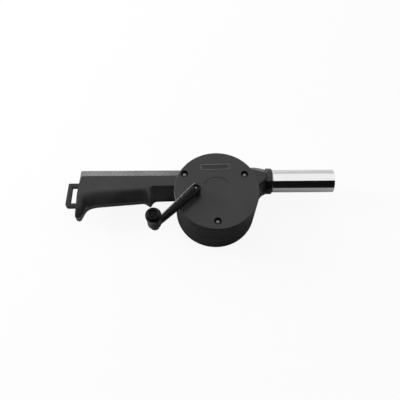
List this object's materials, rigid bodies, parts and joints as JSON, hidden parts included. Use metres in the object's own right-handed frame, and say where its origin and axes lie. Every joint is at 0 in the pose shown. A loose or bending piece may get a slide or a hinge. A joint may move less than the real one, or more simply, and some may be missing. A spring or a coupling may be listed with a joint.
{
  "type": "hand crank forge blower",
  "caption": "Hand-cranked air blower: round two-shell drum with a moulded grip and hanging loop, crank with spinning knob, geared fan and a steel outlet tube.",
  "frame": {"origin": "centre of the drum's back face, on the axis of the drum and of the fan", "axes": "+Z out of the front cover, +X from the handle towards the outlet tube, +Y towards the side of the outlet"},
  "size_m": [0.2874, 0.0945, 0.0893],
  "materials": {
    "shell_plastic": "fine-grained moulded black",
    "badge_plastic": "bare satin plate",
    "loop_plastic": "satin moulded black",
    "collar_plastic": "satin moulded black",
    "inner_plastic": "moulded",
    "arm_plastic": "semi-gloss moulded black",
    "knob_plastic": "semi-gloss moulded black",
    "fan_plastic": "moulded",
    "gear_nylon": "natural nylon",
    "tube_steel": "polished",
    "screw_steel": "zinc plated",
    "shaft_steel": "ground",
    "pin_steel": "blackened",
    "bush_brass": "turned"
  },
  "bodies": {
    "housing": {"front_shell": "shell_plastic", "rear_shell": "shell_plastic", "badge_plate": "badge_plastic", "cover_screws": "screw_steel", "handle_screws": "screw_steel", "hanging_loop": "loop_plastic", "outlet_tube": "tube_steel", "outlet_collar": "collar_plastic", "gear_plate": "inner_plastic", "crank_bush": "bush_brass", "fan_bush_front": "bush_brass", "fan_bush_rear": "bush_brass", "idler_axle": "shaft_steel"},
    "crank": {"crank_shaft": "shaft_steel", "drive_gear": "gear_nylon", "crank_arm": "arm_plastic", "hub_screw": "screw_steel", "knob_pin": "pin_steel"},
    "knob": {"knob_grip": "knob_plastic"},
    "idler": {"idler_gear": "gear_nylon"},
    "fan": {"impeller": "fan_plastic", "fan_shaft": "shaft_steel", "fan_pinion": "bush_brass", "fan_retainer": "shaft_steel"}
  },
  "joints": [
    {"name": "crank_turn", "type": "hinge", "parent": "housing", "child": "crank", "pos_m": [-0.0214, -0.0028, 0.0532], "axis": [0, 0, 1], "continuous": true},
    {"name": "knob_spin", "type": "hinge", "parent": "crank", "child": "knob", "pos_m": [-0.0618, -0.0428, 0.0775], "axis": [0, 0, 1], "continuous": true},
    {"name": "idler_turn", "type": "hinge", "parent": "housing", "child": "idler", "pos_m": [-0.00992, 0.0155, 0.0445], "axis": [0, 0, 1], "continuous": true},
    {"name": "fan_spin", "type": "hinge", "parent": "housing", "child": "fan", "pos_m": [0, 0, 0.022], "axis": [0, 0, 1], "continuous": true}
  ],
  "couplings": [
    {"joint": "idler_turn", "follows": "crank_turn", "ratio": -4.4},
    {"joint": "fan_spin", "follows": "crank_turn", "ratio": 15.84}
  ]
}
